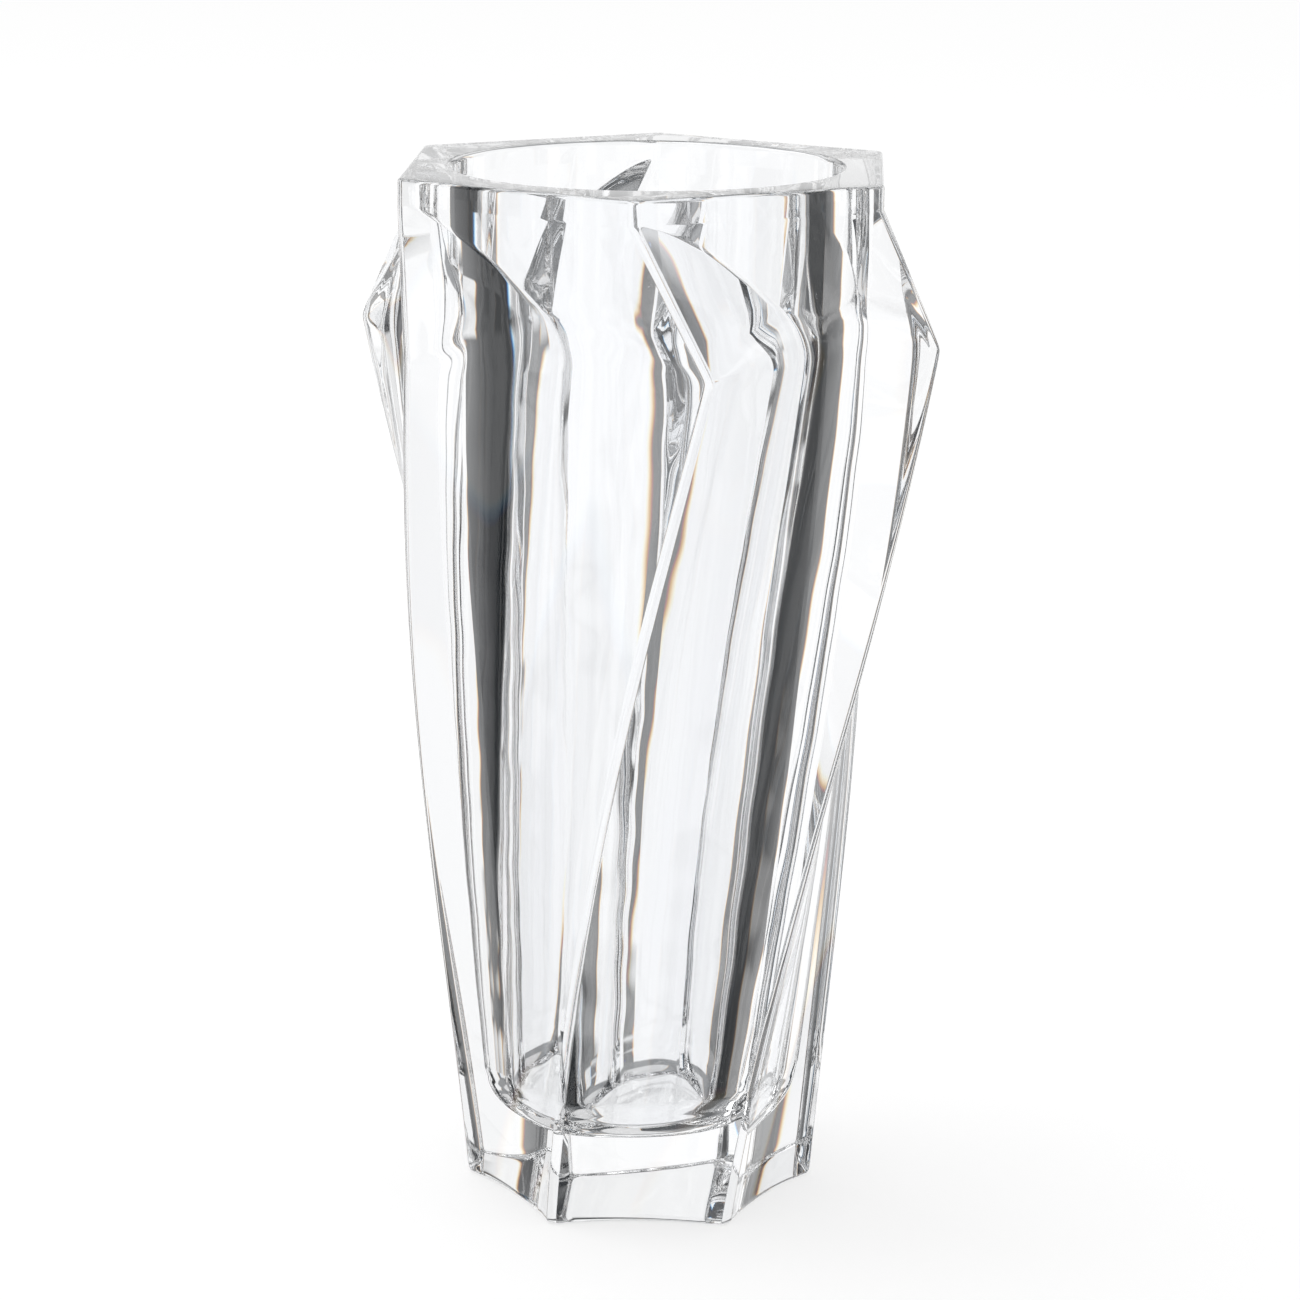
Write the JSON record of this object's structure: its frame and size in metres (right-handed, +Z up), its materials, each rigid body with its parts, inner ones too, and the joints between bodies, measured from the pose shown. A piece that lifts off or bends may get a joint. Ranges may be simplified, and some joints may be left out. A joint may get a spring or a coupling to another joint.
{
  "type": "crystal vase",
  "caption": "Tall clear crystal vase: twisted ridges rise from a hexagonal foot to a hexagonal rim around a round tapered cavity that holds cut flowers.",
  "frame": {"origin": "centre of the resting face, on the axis of the vase", "axes": "+Z up along the axis of the vase; -Y is the front, which faces a straight edge of the foot"},
  "size_m": [0.167, 0.1718, 0.305],
  "materials": {
    "crystal": "clear, polished"
  },
  "bodies": {
    "root": {"vase_body": "crystal"}
  },
  "joints": []
}
